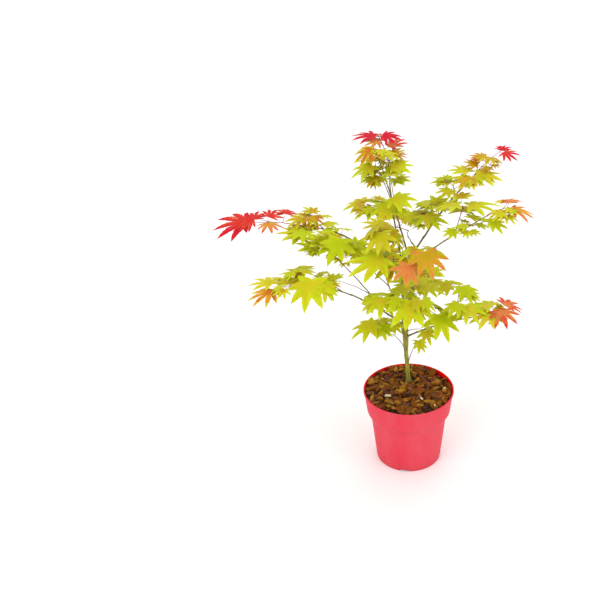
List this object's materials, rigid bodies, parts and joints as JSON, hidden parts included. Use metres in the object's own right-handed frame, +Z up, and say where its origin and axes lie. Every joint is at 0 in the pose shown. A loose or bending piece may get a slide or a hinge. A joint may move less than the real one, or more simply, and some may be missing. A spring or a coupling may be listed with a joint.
{
  "type": "potted japanese maple",
  "caption": "Young palm-leaved maple in autumn colour, thin open boughs with sprays of lobed leaves, growing in a round red plastic pot topped with bark.",
  "frame": {"origin": "middle of the pot's flat underside", "axes": "+Z up, -Y towards the viewer of the picture, +X to that viewer's right"},
  "size_m": [0.6382, 0.3704, 0.7328],
  "materials": {
    "pot": "smooth coral-red moulded plastic, satin",
    "potting_soil": "dark crumbly potting mix",
    "bark_mulch": "rough dry bark chips in mixed browns",
    "trunk_bark": "smooth green-brown young bark with fine streaks",
    "bough_bark": "thin olive bark, browner at the base",
    "leaves_crimson": "thin matt leaf, crimson",
    "leaves_coral": "thin matt leaf, coral",
    "leaves_ember": "thin matt leaf, rust and ochre",
    "leaves_amber": "thin matt leaf, amber",
    "leaves_gold": "thin matt leaf, gold",
    "leaves_olive": "thin matt leaf, olive",
    "leaves_lime": "thin matt leaf, lime"
  },
  "bodies": {
    "root": {"bark_mulch": "bark_mulch", "bough_back_left": "bough_bark", "bough_back_right": "bough_bark", "bough_back_top": "bough_bark", "bough_front": "bough_bark", "bough_left_low": "bough_bark", "bough_left_top": "bough_bark", "bough_right_low": "bough_bark", "bough_right_middle": "bough_bark", "bough_right_top": "bough_bark", "bough_upright": "bough_bark", "branch_left_low": "bough_bark", "dead_twig_fork": "bough_bark", "dead_twig_low": "bough_bark", "leader": "bough_bark", "leaves_back_left": "leaves_olive", "leaves_back_right": "leaves_lime", "leaves_back_top": "leaves_gold", "leaves_crown_front": "leaves_amber", "leaves_crown_left": "leaves_olive", "leaves_crown_right": "leaves_amber", "leaves_heart_back": "leaves_lime", "leaves_heart_front": "leaves_lime", "leaves_heart_right": "leaves_lime", "leaves_leader_low": "leaves_lime", "leaves_leader_middle": "leaves_lime", "leaves_leader_top": "leaves_ember", "leaves_left_back": "leaves_olive", "leaves_left_far": "leaves_crimson", "leaves_left_inner": "leaves_lime", "leaves_left_middle": "leaves_lime", "leaves_left_over": "leaves_amber", "leaves_left_under": "leaves_lime", "leaves_low_left_far": "leaves_ember", "leaves_low_left_front": "leaves_lime", "leaves_low_left_inner": "leaves_lime", "leaves_low_left_over": "leaves_olive", "leaves_low_left_thin": "leaves_lime", "leaves_over_fork": "leaves_olive", "leaves_right_back": "leaves_lime", "leaves_right_far": "leaves_coral", "leaves_right_inner": "leaves_lime", "leaves_right_middle_far": "leaves_coral", "leaves_right_middle_low": "leaves_lime", "leaves_right_middle_over": "leaves_olive", "leaves_right_top_far": "leaves_crimson", "leaves_right_top_low": "leaves_lime", "leaves_right_top_over": "leaves_lime", "leaves_right_top_under": "leaves_gold", "leaves_shoot_low": "leaves_lime", "leaves_short_left": "leaves_lime", "leaves_short_right": "leaves_lime", "leaves_upright_high": "leaves_ember", "leaves_upright_inner": "leaves_gold", "leaves_upright_low": "leaves_olive", "leaves_upright_middle": "leaves_olive", "leaves_upright_top": "leaves_crimson", "pot": "pot", "potting_soil": "potting_soil", "trunk": "trunk_bark"}
  },
  "joints": []
}
